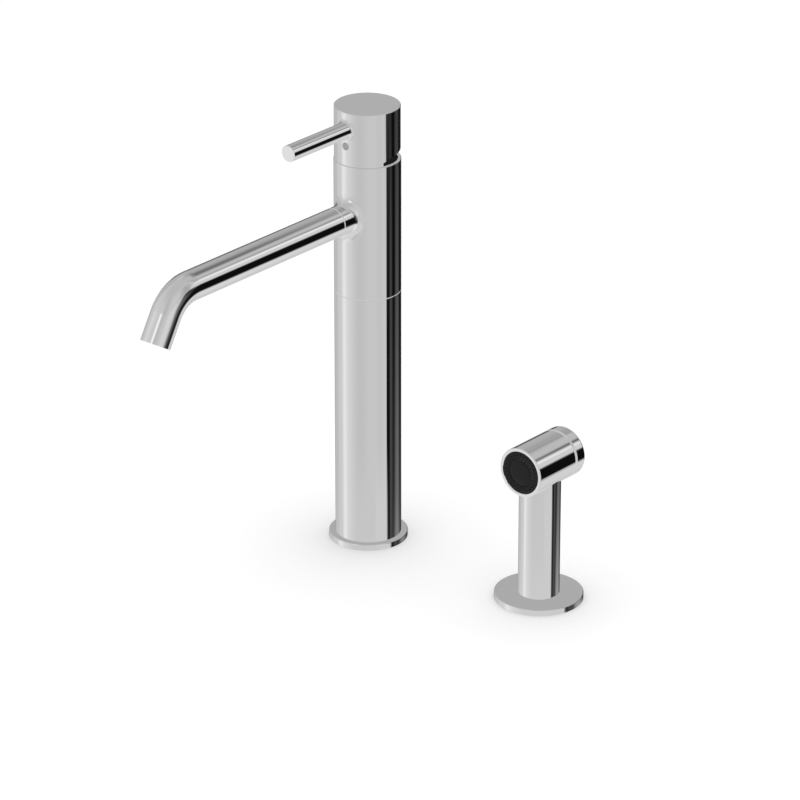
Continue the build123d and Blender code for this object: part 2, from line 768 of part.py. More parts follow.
with BuildPart() as grub_screw:
    with BuildSketch(across(-spindle_w / 2 - 2 * seat)):
        with Locations((0, plug_z)):
            Circle(grub_r)
    extrude(amount=grub_l)
    with BuildSketch(across(-spindle_w / 2 - 2 * seat - grub_l)):
        with Locations((0, plug_z)):
            RegularPolygon(grub_key / 2, 6, major_radius=False)
    extrude(amount=-grub_l / 3, mode=Mode.SUBTRACT)
pieces["grub_screw"] = grub_screw

with BuildPart() as index_plug:
    with BuildSketch(across(-cap_r + edge_break / 2 + plug_t)):
        with Locations((0, plug_z)):
            Circle(plug_r)
    extrude(amount=plug_t)
pieces["index_plug"] = index_plug

# ================================================================== mixer: swivel sleeve and spout
slot_half = swivel_limit + degrees(asin(stop_r / core_r)) + 0.5
stop_slot_r = sleeve_bore_r + stop_slot_depth
with BuildPart() as swivel_sleeve:
    with BuildSketch(Plane.XY.offset(sleeve_foot_z)):
        Circle(column_r)
    extrude(amount=sleeve_top_z - sleeve_foot_z)
    chamfer(swivel_sleeve.edges().group_by(Axis.Z)[-1], edge_break)
    chamfer(swivel_sleeve.edges().group_by(Axis.Z)[0], seam_gap / 4)
    with BuildSketch(across(-column_r / 2)):
        with Locations((0, spout_z)):
            Circle(spout_r)
    extrude(amount=collar_reach - column_r / 2)
    collar_root = swivel_sleeve.edges().filter_by(
        lambda e: -column_r <= e.center().Y < -column_r / 2 and abs(e.center().Z - spout_z) < spout_r
    )
    fillet(collar_root, collar_fillet)
    chamfer(swivel_sleeve.edges().group_by(Axis.Y)[0], spout_bevel)
    # bore, with a wider mouth for the nut and the upper slide ring
    with BuildSketch(Plane.XY.offset(sleeve_foot_z)):
        Circle(sleeve_bore_r)
    extrude(amount=sleeve_top_z - sleeve_foot_z, mode=Mode.SUBTRACT)
    with BuildSketch(Plane.XY.offset(ledge_z)):
        Circle(rim_bore_r)
    extrude(amount=sleeve_top_z - ledge_z, mode=Mode.SUBTRACT)
    # port and the spout's socket
    with BuildSketch(across(-collar_reach)):
        with Locations((0, spout_z)):
            Circle(spout_bore_r + seat)
    extrude(amount=-spigot_l - run, mode=Mode.SUBTRACT)
    with BuildSketch(across(-collar_reach)):
        with Locations((0, spout_z)):
            Circle(spout_bore_r - spigot_wall)
    extrude(amount=-collar_reach + sleeve_bore_r / 2, mode=Mode.SUBTRACT)
    # slot that the stop screw runs in
    with BuildSketch(Plane.XY.offset(stop_z - stop_r - run)):
        with BuildLine():
            outer_arc = CenterArc((0, 0), stop_slot_r, -90 - slot_half, 2 * slot_half)
            inner_arc = CenterArc((0, 0), sleeve_bore_r - run, -90 - slot_half, 2 * slot_half)
            Line(outer_arc @ 0, inner_arc @ 0)
            Line(outer_arc @ 1, inner_arc @ 1)
        make_face()
    extrude(amount=2 * (stop_r + run), mode=Mode.SUBTRACT)
pieces["swivel_sleeve"] = swivel_sleeve

tube_start = collar_reach + spout_seam
with BuildPart() as spout_tube:
    with BuildLine(Plane.YZ) as spout_path:
        level = Line((-tube_start, spout_z), (-spout_run, spout_z))
        bend = JernArc(level @ 1, level % 1, bend_r, bend_turn)
        Line(bend @ 1, bend @ 1 + (bend % 1) * spout_tail)
    with BuildSketch(Plane(origin=spout_path.line @ 0, z_dir=spout_path.line % 0)):
        Circle(spout_r)
        Circle(spout_bore_r - spigot_wall, mode=Mode.SUBTRACT)
    sweep()
    chamfer(spout_tube.edges().group_by(Axis.Y)[-1].sort_by(SortBy.RADIUS)[-1], spout_bevel)
    with BuildSketch(across(-tube_start)):
        with Locations((0, spout_z)):
            Circle(spout_bore_r)
            Circle(spout_bore_r - spigot_wall, mode=Mode.SUBTRACT)
    extrude(amount=-spigot_l)
    # groove of the spigot's seal
    with BuildSketch(across(-tube_start + (spigot_l + spout_groove_w) / 2)):
        with Locations((0, spout_z)):
            Circle(spout_bore_r + run)
            Circle(spout_bore_r - 2 * spout_seal_r, mode=Mode.SUBTRACT)
    extrude(amount=spout_groove_w, mode=Mode.SUBTRACT)
    # mouth, wider for the aerator
    mouth = Plane(origin=spout_path.line @ 1, x_dir=(1, 0, 0), z_dir=spout_path.line % 1)
    with BuildSketch(mouth):
        Circle(aerator_r)
    extrude(amount=-aerator_depth, mode=Mode.SUBTRACT)
pieces["spout_tube"] = spout_tube

pieces["spout_seal"] = o_ring(
    Plane(origin=(0, -tube_start + spigot_l / 2, spout_z), z_dir=(0, -1, 0)),
    spout_bore_r + seat - spout_seal_r,
    spout_seal_r,
)

aerator_l = aerator_depth - aerator_recess - aerator_seal_t
with BuildPart() as aerator_housing:
    with BuildSketch(mouth.offset(-aerator_recess)):
        Circle(aerator_r - seat)
        Circle(aerator_r - seat - aerator_wall, mode=Mode.SUBTRACT)
    extrude(amount=-aerator_l)
    chamfer(aerator_housing.edges().group_by(Axis.Z)[0], edge_break)
pieces["aerator_housing"] = aerator_housing

with BuildPart() as aerator_insert:
    with BuildSketch(mouth.offset(-aerator_recess - insert_inset)):
        Circle(aerator_r - aerator_wall - 2 * seat)
        with HexLocations(insert_pitch, insert_rows, insert_rows):
            Circle(insert_hole_r, mode=Mode.SUBTRACT)
    extrude(amount=-insert_t)
pieces["aerator_insert"] = aerator_insert

pieces["aerator_seal"] = turned_ring(
    mouth.offset(-aerator_depth + seat), aerator_r - seat, spout_bore_r - spigot_wall, aerator_seal_t - seat
)

# ================================================================== side spray: holder
spray_flange_r = spray_flange_d / 2
stem_r = stem_d / 2
stem_bore_r = stem_r - stem_wall
head_r = head_d / 2
spray_groove_r = spray_flange_r - spray_groove_inset
pieces["spray_flange"] = deck_flange(
    spray_level(0), spray_flange_r, hub_r + seat, spray_groove_r
)

# bush screwed into the flange, which holds the hose guide above and the shank below
with BuildPart() as spray_holder:
    with BuildSketch(spray_level(0)):
        Circle(hub_r)
    extrude(amount=hub_top)
    chamfer(spray_holder.edges().group_by(Axis.Z)[-1], edge_break)
    with BuildSketch(spray_level(0)):
        Circle(shank_bore_r)
    extrude(amount=shank_depth, mode=Mode.SUBTRACT)
    with BuildSketch(spray_level(shank_depth)):
        Circle(hub_r - lip_pocket_wall)
    extrude(amount=lip_pocket_h, mode=Mode.SUBTRACT)
    with BuildSketch(spray_level(0)):
        Circle(guide_neck_r + seat)
    extrude(amount=hub_top, mode=Mode.SUBTRACT)
pieces["spray_holder"] = spray_holder

pieces["spray_flange_seal"] = turned_ring(
    spray_level(0), spray_groove_r - seal_play, spray_groove_r - seal_play - seal_w, seal_t
)

guide_foot_z = hub_ledge_z - seal_play - guide_lip_h
with BuildPart() as hose_guide:
    with BuildSketch(spray_level(guide_foot_z)):
        Circle(guide_neck_r + guide_lip)
    extrude(amount=guide_lip_h)
    with BuildSketch(spray_level(guide_foot_z)):
        Circle(guide_neck_r)
    extrude(amount=hub_top + seal_play - guide_foot_z)
    with BuildSketch(spray_level(hub_top + seal_play)):
        Circle(stem_bore_r - run)
    extrude(amount=guide_head_h)
    chamfer(hose_guide.edges().group_by(Axis.Z)[-1].sort_by(SortBy.RADIUS)[-1], guide_chamfer)
    with BuildSketch(spray_level(guide_foot_z)):
        Circle(guide_bore_r)
    extrude(amount=hub_top + seal_play + guide_head_h - guide_foot_z, mode=Mode.SUBTRACT)
pieces["hose_guide"] = hose_guide

# ================================================================== side spray: handset
stem_foot_z = flange_t + seat
front_y = -head_front
seat_front_y = front_y + front_depth
seat_rear_y = seat_front_y + seat_l + seat
web_front_y = seat_rear_y + inner_chamber_l
web_rear_y = web_front_y + gland_wall
face_r = head_r - front_ring_w
with BuildPart() as handset_body:
    with BuildSketch(spray_level(stem_foot_z)):
        Circle(stem_r)
    extrude(amount=head_z - stem_foot_z)
    chamfer(handset_body.edges().group_by(Axis.Z)[0], edge_break)
    with BuildSketch(head_plane(head_rear)):
        Circle(head_r)
    extrude(amount=head_rear + head_front)
    head_ends = handset_body.edges().filter_by(GeomType.CIRCLE)
    fillet(head_ends.group_by(Axis.Y)[0], head_edge)
    chamfer(handset_body.edges().filter_by(GeomType.CIRCLE).group_by(Axis.Y)[-1], rim_edge)
    # front chamber, valve seat's thread, inner chamber, gland and rear bore
    with BuildSketch(head_plane(front_y)):
        Circle(face_r)
    extrude(amount=-front_depth, mode=Mode.SUBTRACT)
    with BuildSketch(head_plane(front_y)):
        Circle(seat_r)
    extrude(amount=front_y - seat_rear_y, mode=Mode.SUBTRACT)
    with BuildSketch(head_plane(front_y)):
        Circle(inner_chamber_r)
    extrude(amount=front_y - web_front_y, mode=Mode.SUBTRACT)
    with BuildSketch(head_plane(front_y)):
        Circle(rod_r + run)
    extrude(amount=front_y - web_rear_y, mode=Mode.SUBTRACT)
    with BuildSketch(head_plane(head_rear)):
        Circle(skirt_r + run)
    extrude(amount=head_rear - web_rear_y, mode=Mode.SUBTRACT)
    rim_mouth = handset_body.edges().filter_by(GeomType.CIRCLE).group_by(Axis.Y)[-1]
    chamfer(rim_mouth.sort_by(SortBy.RADIUS)[0], rim_r - skirt_r - run)
    with BuildSketch(head_plane(web_front_y + gland_wall / 2 + gland_cord_r + seal_play)):
        Circle(rod_r + run + 2 * gland_cord_r + seal_play)
    extrude(amount=2 * (gland_cord_r + seal_play), mode=Mode.SUBTRACT)
    # stem: bore, hose socket's thread and the way up to the inner chamber
    with BuildSketch(spray_level(stem_foot_z)):
        Circle(stem_bore_r)
    extrude(amount=socket_shoulder_z - stem_foot_z, mode=Mode.SUBTRACT)
    with BuildSketch(spray_level(socket_shoulder_z)):
        Circle(socket_neck_r + seat)
    extrude(amount=socket_neck_l + socket_top_play, mode=Mode.SUBTRACT)
    with BuildSketch(spray_level(socket_shoulder_z)):
        with Locations((0, stem_way_y)):
            Circle(stem_way_r)
    extrude(amount=head_z - socket_shoulder_z, mode=Mode.SUBTRACT)
pieces["handset_body"] = handset_body

with BuildPart() as hose_socket:
    with BuildSketch(spray_level(hose_socket_z)):
        Circle(stem_bore_r - socket_play)
    extrude(amount=socket_shoulder_z - socket_seal_t - hose_socket_z)
    with BuildSketch(spray_level(socket_shoulder_z - socket_seal_t)):
        Circle(socket_neck_r)
    extrude(amount=socket_neck_l + socket_seal_t)
    with BuildSketch(spray_level(hose_socket_z)):
        Circle(hose_thread_r)
    extrude(amount=hose_thread_l, mode=Mode.SUBTRACT)
    with BuildSketch(spray_level(hose_socket_z)):
        Circle(water_way_r)
    extrude(amount=socket_shoulder_z + socket_neck_l - hose_socket_z, mode=Mode.SUBTRACT)
pieces["hose_socket"] = hose_socket

pieces["hose_socket_seal"] = turned_ring(
    spray_level(socket_shoulder_z - socket_seal_t),
    stem_bore_r - socket_play,
    socket_neck_r + seat,
    socket_seal_t,
)

nozzle_front_y = front_y + face_recess
with BuildPart() as nozzle_face:
    with BuildSketch(head_plane(nozzle_front_y + face_t)):
        Circle(face_r - seat)
    extrude(amount=face_t)
    chamfer(nozzle_face.edges().group_by(Axis.Y)[0], edge_break)
    with BuildSketch(head_plane(nozzle_front_y)):
        for ring_r, nubs in nub_rings:
            with PolarLocations(ring_r, nubs):
                Circle(nub_r)
    extrude(amount=nub_h)
pieces["nozzle_face"] = nozzle_face

with BuildPart() as spray_plate:
    with BuildSketch(head_plane(nozzle_front_y + face_t + plate_t_spray)):
        Circle(face_r - seat)
        with PolarLocations(plate_ring_r, plate_holes):
            Circle(plate_hole_r, mode=Mode.SUBTRACT)
    extrude(amount=plate_t_spray)
pieces["spray_plate"] = spray_plate

with BuildPart() as valve_seat:
    with BuildSketch(head_plane(seat_front_y + seat_l)):
        Circle(seat_r - seat)
        Circle(seat_bore_r, mode=Mode.SUBTRACT)
    extrude(amount=seat_l)
pieces["valve_seat"] = valve_seat

rod_end_y = button_rear - button_wall - rod_end_play
with BuildPart() as valve_poppet:
    with BuildSketch(head_plane(seat_front_y - poppet_seal_t)):
        Circle(poppet_r)
    extrude(amount=poppet_t)
    with BuildSketch(head_plane(rod_end_y)):
        Circle(rod_r)
    extrude(amount=rod_end_y - seat_front_y + poppet_seal_t)
pieces["valve_poppet"] = valve_poppet

pieces["poppet_seal"] = turned_ring(
    head_plane(seat_front_y), poppet_r - 0.2, rod_r + seat, poppet_seal_t
)
pieces["gland_seal"] = o_ring(
    head_plane(web_front_y + gland_wall / 2), rod_r + run + gland_cord_r, gland_cord_r
)

button_front_y = head_rear + button_travel + button_stop
cone_front_y = button_front_y - rim_r + skirt_r
with BuildPart() as button_cap:
    with BuildSketch(head_plane(button_rear)):
        Circle(head_r)
    extrude(amount=button_rear - cone_front_y)
    fillet(button_cap.edges().group_by(Axis.Y)[-1], button_edge)
    # light cone that enters the head's rear rim
    chamfer(button_cap.edges().group_by(Axis.Y)[0], head_r - skirt_r)
    with BuildSketch(head_plane(button_front_y + button_edge)):
        Circle(skirt_r)
    extrude(amount=skirt_l + button_edge)
    # hollow inside, round the boss that holds the poppet's rod
    with BuildSketch(head_plane(button_rear - button_wall)):
        Circle(skirt_r - skirt_wall)
        Circle(button_boss_r, mode=Mode.SUBTRACT)
    extrude(amount=button_rear - button_wall - button_front_y + skirt_l, mode=Mode.SUBTRACT)
    with BuildSketch(head_plane(button_rear - button_wall)):
        Circle(rod_r + seat)
    extrude(amount=button_rear - button_wall - button_front_y + skirt_l, mode=Mode.SUBTRACT)
pieces["button_cap"] = button_cap

with BuildPart() as button_spring:
    with BuildSketch(head_plane(button_rear - button_wall)):
        Circle(button_spring_r)
        Circle(button_spring_r - spring_wire, mode=Mode.SUBTRACT)
    extrude(amount=button_rear - button_wall - web_rear_y)
pieces["button_spring"] = button_spring

# ================================================================== write each piece
for name, piece in pieces.items():
    piece.part.label = name
    export_step(piece.part, f"parts/{name}.step")
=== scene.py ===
"""Finishes, moulded details and studio of a tall single-lever kitchen mixer with a separate side spray.

Run as a script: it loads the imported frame, dresses its pieces and adds the finely moulded ones."""

import json
import math

import bmesh
import bpy
from bpy.props import FloatProperty, FloatVectorProperty, PointerProperty
from mathutils import Matrix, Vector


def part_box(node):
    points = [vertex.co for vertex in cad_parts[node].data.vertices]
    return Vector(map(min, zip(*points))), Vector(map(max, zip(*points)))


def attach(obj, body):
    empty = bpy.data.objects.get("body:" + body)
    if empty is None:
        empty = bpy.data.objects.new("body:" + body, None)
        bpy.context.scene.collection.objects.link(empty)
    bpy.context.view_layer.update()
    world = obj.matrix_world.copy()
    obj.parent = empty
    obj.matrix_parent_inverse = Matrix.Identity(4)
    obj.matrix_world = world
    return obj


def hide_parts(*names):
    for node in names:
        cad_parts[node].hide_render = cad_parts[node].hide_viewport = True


bl_info = {
    "name": "Side spray mixer looks",
    "version": (1, 0, 0),
    "blender": (4, 5, 0),
    "location": "3D View > Sidebar > Mixer",
    "description": "Finishes, rubber nozzle, stream outlet and studio of a kitchen mixer with a side spray",
    "category": "Object",
}

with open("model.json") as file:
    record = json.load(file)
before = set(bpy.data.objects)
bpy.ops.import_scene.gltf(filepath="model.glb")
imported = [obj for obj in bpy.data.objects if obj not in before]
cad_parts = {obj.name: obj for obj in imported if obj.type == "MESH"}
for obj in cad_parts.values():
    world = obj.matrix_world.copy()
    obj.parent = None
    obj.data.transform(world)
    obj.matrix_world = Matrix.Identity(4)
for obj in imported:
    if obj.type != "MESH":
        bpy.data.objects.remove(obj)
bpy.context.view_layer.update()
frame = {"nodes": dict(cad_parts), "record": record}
MM = 0.001
SLOT_OF = {part["node"]: part["material_slot"] for part in frame["record"]["subparts"]}


# ------------------------------------------------------------------ colours
def linear(hex_colour):
    """An sRGB hex colour as linear red, green, blue and alpha."""
    channels = [int(hex_colour[i : i + 2], 16) / 255 for i in (1, 3, 5)]
    return [c / 12.92 if c <= 0.04045 else ((c + 0.055) / 1.055) ** 2.4 for c in channels] + [1.0]


def light_for(level):
    """The light that makes chrome show a grey of 0 to 255."""
    c = level / 255
    return (c / 12.92 if c <= 0.04045 else ((c + 0.055) / 1.055) ** 2.4) / MIRROR


# ------------------------------------------------------------------ sizes and colours a user would change
class StudioLook(bpy.types.PropertyGroup):
    camera_place: FloatVectorProperty(
        name="Camera place",
        description="Where the camera stands",
        subtype="TRANSLATION",
        unit="LENGTH",
        default=(1.93571, -2.25746, 1.42801),
    )
    camera_turn: FloatVectorProperty(
        name="Camera turn",
        description="Which way the camera looks",
        subtype="EULER",
        unit="ROTATION",
        default=(math.radians(65.946), 0, math.radians(40.194)),
    )
    lens: FloatProperty(
        name="Lens", description="Focal length in millimetres, on a 36 mm sensor", default=215.46
    )
    surround: FloatProperty(
        name="Surround", description="Brightness of the plain light all round", default=0.62, min=0
    )
    overhead: FloatProperty(
        name="Overhead lamp", description="Power of the soft lamp above", default=24.0, unit="POWER", min=0
    )
    floor_size: FloatProperty(
        name="Floor size", description="Side of the floor board", default=14.0, unit="LENGTH"
    )
    shade_reach: FloatProperty(
        name="Contact shade reach",
        description="How far the shade round the feet spreads",
        default=0.1,
        unit="LENGTH",
    )
    shade_depth: FloatProperty(
        name="Contact shade depth",
        description="How much light a fully hidden spot of the floor loses",
        default=0.95,
        subtype="FACTOR",
        min=0,
        max=1,
    )


class FinishLook(bpy.types.PropertyGroup):
    chrome: FloatVectorProperty(
        name="Chrome",
        description="Colour of the plate",
        subtype="COLOR",
        size=4,
        min=0,
        max=1,
        default=linear("#C4C4C4"),
    )
    chrome_roughness: FloatProperty(
        name="Chrome roughness",
        description="Roughness of the plate",
        subtype="FACTOR",
        default=0.028,
        min=0,
        max=1,
    )
    smear: FloatProperty(
        name="Buffing smear",
        description="Size of the faint smears that buffing leaves",
        default=12 * MM,
        unit="LENGTH",
    )
    nozzle: FloatVectorProperty(
        name="Nozzle rubber",
        description="Colour of the spray's silicone face",
        subtype="COLOR",
        size=4,
        min=0,
        max=1,
        default=linear("#1B1B1B"),
    )
    orifice: FloatProperty(
        name="Nozzle orifice",
        description="Radius of the hole in each nub",
        default=0.22 * MM,
        unit="LENGTH",
        min=0,
    )
    index: FloatVectorProperty(
        name="Index plug",
        description="Colour of the plug",
        subtype="COLOR",
        size=4,
        min=0,
        max=1,
        default=linear("#B4B4B4"),
    )


# ------------------------------------------------------------------ helpers
def add(tree, kind, settings=None, **links):
    """Adds a node: settings are its own, links go by input name, with _ for a space, or by i and a number."""
    node = tree.nodes.new(kind)
    for key, value in (settings or {}).items():
        setattr(node, key, value)
    for key, value in links.items():
        numbered = key[0] == "i" and key[1:].isdigit()
        socket = node.inputs[int(key[1:])] if numbered else node.inputs[key.replace("_", " ")]
        if isinstance(value, bpy.types.NodeSocket):
            tree.links.new(value, socket)
        else:
            socket.default_value = value
    return node


def calculate(tree, operation, *values):
    """The result of a maths node."""
    links = {f"i{place}": value for place, value in enumerate(values)}
    return add(tree, "ShaderNodeMath", {"operation": operation}, **links).outputs[0]


def start(name):
    """A new material with its output and object coordinates."""
    material = bpy.data.materials.new(name)
    material.use_nodes = True
    tree = material.node_tree
    tree.nodes.clear()
    return material, tree, add(tree, "ShaderNodeTexCoord").outputs["Object"]


def close(tree, **shader):
    """Puts the surface on its output."""
    surface = add(tree, "ShaderNodeBsdfPrincipled", **shader).outputs["BSDF"]
    add(tree, "ShaderNodeOutputMaterial", Surface=surface)


def spread(tree, value, low, high, from_low=0.3, from_high=0.7):
    """Maps a pattern onto a range."""
    return add(
        tree, "ShaderNodeMapRange", Value=value, From_Min=from_low, From_Max=from_high, To_Min=low, To_Max=high
    ).outputs["Result"]


def dress(names, material):
    """Gives CAD nodes their finish."""
    for name in names:
        mesh = frame["nodes"][name].data
        mesh.materials.clear()
        mesh.materials.append(material)


def nodes_of(slot, *left_out):
    """The CAD nodes of a material slot."""
    return [name for name, its_slot in SLOT_OF.items() if its_slot == slot and name not in left_out]


def finish_piece(name, bm, body, material, node):
    """Turns a bmesh into a smooth piece that rides on a body and stands for a node."""
    mesh = bpy.data.meshes.new(name)
    bm.to_mesh(mesh)
    bm.free()
    mesh.materials.append(material)
    piece = bpy.data.objects.new(name, mesh)
    bpy.context.scene.collection.objects.link(piece)
    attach(piece, body)
    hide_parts(node)
    return piece


def turn(bm, profile, steps):
    """Spins a profile of (radius, height) points once round Z, and closes it."""
    points = [bm.verts.new((radius, 0, height)) for radius, height in profile]
    edges = [bm.edges.new(pair) for pair in zip(points, points[1:])]
    bmesh.ops.spin(
        bm,
        geom=points + edges,
        cent=(0, 0, 0),
        axis=(0, 0, 1),
        angle=2 * math.pi,
        steps=steps,
        use_merge=True,
        use_duplicate=False,
    )
    bmesh.ops.remove_doubles(bm, verts=bm.verts, dist=1e-6)


# ------------------------------------------------------------------ finishes
def bright_chrome(look):
    """Chrome plate on nickel over buffed brass: a cool mirror, with the faintest smears in its roughness."""
    material, tree, place = start("bright_chrome_plate")
    smear = add(tree, "ShaderNodeTexNoise", Vector=place, Scale=1 / look.smear, Detail=4.0, Roughness=0.65)
    roughness = spread(tree, smear.outputs["Fac"], look.chrome_roughness * 0.8, look.chrome_roughness * 1.3)
    close(tree, Base_Color=look.chrome, Metallic=1.0, Roughness=roughness)
    return material


def turned_brass():
    """CW617N brass, turned on a lathe: fine rings round Z every 0.25 mm, and warm patches of handling."""
    material, tree, place = start("turned_brass")
    patch = add(tree, "ShaderNodeTexNoise", Vector=place, Scale=1 / (9 * MM), Detail=5.0)
    colour = add(
        tree,
        "ShaderNodeMix",
        {"data_type": "RGBA"},
        Factor=spread(tree, patch.outputs["Fac"], 0.0, 1.0),
        i6=linear("#C9A55E"),
        i7=linear("#B8914A"),
    ).outputs[2]
    rings = add(
        tree,
        "ShaderNodeTexWave",
        {"wave_type": "BANDS", "bands_direction": "Z"},
        Vector=place,
        Scale=1 / (0.25 * MM) / 20,
        Distortion=0.6,
        Detail=2.0,
        Detail_Scale=40.0,
    )
    bump = add(tree, "ShaderNodeBump", Strength=0.25, Distance=0.01 * MM, Height=rings.outputs["Fac"])
    close(
        tree,
        Base_Color=colour,
        Metallic=1.0,
        Roughness=spread(tree, patch.outputs["Fac"], 0.22, 0.34),
        Normal=bump.outputs["Normal"],
    )
    return material


def drawn_copper():
    """Half-hard copper tube, drawn through a die: long fine lines, and brown where it was handled."""
    material, tree, place = start("drawn_copper")
    along = add(tree, "ShaderNodeMapping", Vector=place, Scale=(1, 1, 0.03))
    lines = add(tree, "ShaderNodeTexNoise", Vector=along.outputs["Vector"], Scale=1 / (0.6 * MM), Detail=3.0)
    patch = add(tree, "ShaderNodeTexNoise", Vector=place, Scale=1 / (14 * MM), Detail=4.0)
    colour = add(
        tree,
        "ShaderNodeMix",
        {"data_type": "RGBA"},
        Factor=spread(tree, patch.outputs["Fac"], 0.0, 1.0),
        i6=linear("#C97C5D"),
        i7=linear("#A9624A"),
    ).outputs[2]
    bump = add(tree, "ShaderNodeBump", Strength=0.2, Distance=0.01 * MM, Height=lines.outputs["Fac"])
    close(
        tree,
        Base_Color=colour,
        Metallic=1.0,
        Roughness=spread(tree, lines.outputs["Fac"], 0.25, 0.4),
        Normal=bump.outputs["Normal"],
    )
    return material


def spring_steel():
    """Stainless wire and pins, 1.4310, drawn and passivated: a grey sheen with fine draw lines."""
    material, tree, place = start("stainless_steel")
    grain = add(tree, "ShaderNodeTexNoise", Vector=place, Scale=1 / (0.5 * MM), Detail=4.0, Distortion=1.0)
    bump = add(tree, "ShaderNodeBump", Strength=0.15, Distance=0.01 * MM, Height=grain.outputs["Fac"])
    close(
        tree,
        Base_Color=linear("#A9ABAD"),
        Metallic=1.0,
        Roughness=spread(tree, grain.outputs["Fac"], 0.22, 0.36),
        Normal=bump.outputs["Normal"],
    )
    return material


def seal_rubber():
    """EPDM rings and gaskets, moulded in a blasted tool: matt black, with a grey bloom of talc."""
    material, tree, place = start("epdm_rubber")
    bloom = add(tree, "ShaderNodeTexNoise", Vector=place, Scale=1 / (4 * MM), Detail=6.0, Roughness=0.7)
    grit = add(tree, "ShaderNodeTexNoise", Vector=place, Scale=1 / (0.25 * MM), Detail=2.0)
    colour = add(
        tree,
        "ShaderNodeMix",
        {"data_type": "RGBA"},
        Factor=spread(tree, bloom.outputs["Fac"], 0.0, 1.0, 0.4, 0.8),
        i6=linear("#151516"),
        i7=linear("#2C2C2D"),
    ).outputs[2]
    bump = add(tree, "ShaderNodeBump", Strength=0.35, Distance=0.03 * MM, Height=grit.outputs["Fac"])
    close(
        tree,
        Base_Color=colour,
        Roughness=spread(tree, bloom.outputs["Fac"], 0.5, 0.7),
        Specular_IOR_Level=0.35,
        Normal=bump.outputs["Normal"],
    )
    return material


def nozzle_silicone(name, main, bloom):
    """Black silicone, moulded in an eroded tool: satin, nearly black, with a fine grain and a trace of lime."""
    material, tree, place = start(name)
    cloud = add(tree, "ShaderNodeTexNoise", Vector=place, Scale=1 / (3 * MM), Detail=5.0, Roughness=0.6)
    grain = add(tree, "ShaderNodeTexNoise", Vector=place, Scale=1 / (0.3 * MM), Detail=2.0)
    dust = add(
        tree,
        "ShaderNodeMix",
        {"data_type": "RGBA"},
        Factor=spread(tree, cloud.outputs["Fac"], 0.0, 0.35, 0.35, 0.75),
        i6=main,
        i7=bloom,
    ).outputs[2]
    bump = add(tree, "ShaderNodeBump", Strength=0.3, Distance=0.02 * MM, Height=grain.outputs["Fac"])
    close(
        tree,
        Base_Color=dust,
        Roughness=spread(tree, cloud.outputs["Fac"], 0.45, 0.6),
        Specular_IOR_Level=0.1,
        Normal=bump.outputs["Normal"],
    )
    return material


def moulded(name, main, shade, roughness, grain_mm=0.35, gloss=0.5):
    """An engineering plastic from a polished or spark-eroded tool: even colour, faint flow clouds, fine grain."""
    material, tree, place = start(name)
    flow = add(tree, "ShaderNodeTexNoise", Vector=place, Scale=1 / (6 * MM), Detail=3.0, Distortion=0.8)
    grain = add(tree, "ShaderNodeTexNoise", Vector=place, Scale=1 / (grain_mm * MM), Detail=2.0)
    colour = add(
        tree,
        "ShaderNodeMix",
        {"data_type": "RGBA"},
        Factor=spread(tree, flow.outputs["Fac"], 0.0, 1.0),
        i6=main,
        i7=shade,
    ).outputs[2]
    bump = add(tree, "ShaderNodeBump", Strength=0.2, Distance=0.02 * MM, Height=grain.outputs["Fac"])
    close(
        tree,
        Base_Color=colour,
        Roughness=spread(tree, flow.outputs["Fac"], roughness * 0.85, roughness * 1.15),
        Specular_IOR_Level=gloss,
        Normal=bump.outputs["Normal"],
    )
    return material


def alumina():
    """96% alumina discs, fired and lapped flat: warm white, dense and nearly as bright as glass."""
    material, tree, place = start("lapped_alumina")
    speck = add(tree, "ShaderNodeTexNoise", Vector=place, Scale=1 / (0.4 * MM), Detail=6.0, Roughness=0.8)
    colour = add(
        tree,
        "ShaderNodeMix",
        {"data_type": "RGBA"},
        Factor=spread(tree, speck.outputs["Fac"], 0.0, 1.0, 0.45, 0.75),
        i6=linear("#F0ECE3"),
        i7=linear("#DFD9CC"),
    ).outputs[2]
    close(tree, Base_Color=colour, Roughness=spread(tree, speck.outputs["Fac"], 0.1, 0.2), IOR=1.76)
    return material


# ------------------------------------------------------------------ pieces
class MIXER_OT_chrome_shells(bpy.types.Operator):
    """Plate every shell that shows in bright chrome"""

    bl_idname = "mixer.chrome_shells"
    bl_label = "Chrome shells"

    def execute(self, context):
        dress(nodes_of("chrome"), bright_chrome(context.scene.mixer_finish))
        return {"FINISHED"}


class MIXER_OT_brasswork(bpy.types.Operator):
    """Finish the brass, copper and steel inside"""

    bl_idname = "mixer.brasswork"
    bl_label = "Brass, copper and steel"

    def execute(self, context):
        dress(nodes_of("brass"), turned_brass())
        dress(nodes_of("copper"), drawn_copper())
        dress(nodes_of("stainless"), spring_steel())
        return {"FINISHED"}


class MIXER_OT_seals(bpy.types.Operator):
    """Finish the rubber rings and gaskets"""

    bl_idname = "mixer.seals"
    bl_label = "Seals"

    def execute(self, context):
        dress(nodes_of("seal_rubber"), seal_rubber())
        return {"FINISHED"}


class MIXER_OT_cartridge(bpy.types.Operator):
    """Finish the moulded plastics and the ceramic discs"""

    bl_idname = "mixer.cartridge"
    bl_label = "Plastics and ceramics"

    def execute(self, context):
        finish = context.scene.mixer_finish
        dress(nodes_of("acetal"), moulded("natural_acetal", linear("#E6E6E1"), linear("#DBDBD5"), 0.35))
        dress(nodes_of("ptfe"), moulded("virgin_ptfe", linear("#F0F0ED"), linear("#E3E3DF"), 0.5, 0.6))
        dress(
            nodes_of("grey_plastic", "index_plug"),
            moulded("grey_acetal", linear("#85878A"), linear("#77797C"), 0.4),
        )
        # near-black nylon with almost no sheen: partly its own black, partly painted shade that keeps the gap
        # under the lever cap dark
        nylon_and_gap_shade = moulded("matt_nylon_and_gap_shade", linear("#050505"), linear("#080808"), 0.7, gloss=0.06)
        dress(nodes_of("dark_plastic"), nylon_and_gap_shade)
        dress(nodes_of("ceramic"), alumina())
        dress(["index_plug"], moulded("index_plug_abs", finish.index, linear("#AAAAAA"), 0.3))
        return {"FINISHED"}


